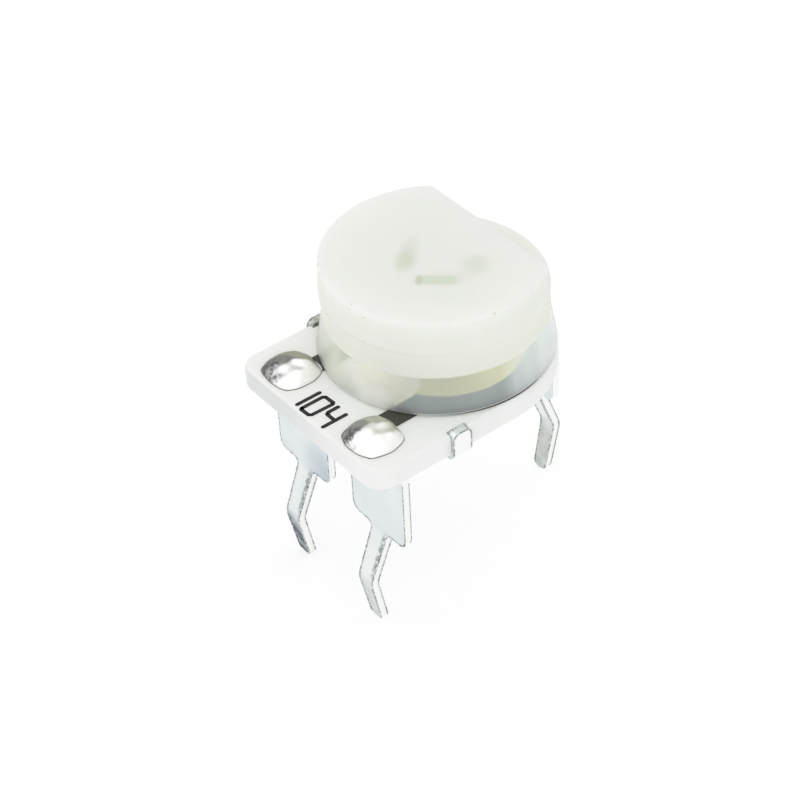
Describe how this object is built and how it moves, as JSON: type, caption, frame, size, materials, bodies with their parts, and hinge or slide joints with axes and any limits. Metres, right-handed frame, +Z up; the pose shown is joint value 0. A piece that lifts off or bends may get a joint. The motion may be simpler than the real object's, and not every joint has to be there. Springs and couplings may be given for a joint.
{
  "type": "trimmer potentiometer",
  "caption": "Single-turn trimmer potentiometer: a ceramic plate with a printed track, kinked board pins and a translucent cap with a flat that turns the wiper.",
  "frame": {"origin": "on the plate's middle line, level with the rotor's axis, in the plane of the board's surface that the terminals' shoulders rest on", "axes": "+Z up along the rotor's axis; +Y towards the rear pin; -Y towards the two front pins; +X to the right seen from the front"},
  "size_m": [0.0093, 0.012, 0.0131],
  "materials": {
    "ceramic": "satin",
    "track": "satin",
    "tinned": "bright tin",
    "solder": "uneven, bright",
    "brass": "satin",
    "cap": "milky, translucent"
  },
  "bodies": {
    "base": {"ceramic_plate": "ceramic", "resistive_track": "track", "terminal_left": "tinned", "terminal_right": "tinned", "solder_left": "solder", "solder_right": "solder", "collector_terminal": "tinned", "pivot_eyelet": "tinned"},
    "rotor": {"wiper_spring": "brass", "rotor_cap": "cap"}
  },
  "joints": [
    {"name": "rotor_turn", "type": "hinge", "parent": "base", "child": "rotor", "pos_m": [-0.0004, 0, 0], "axis": [0, 0, 1], "range_deg": [-185, 85]}
  ]
}
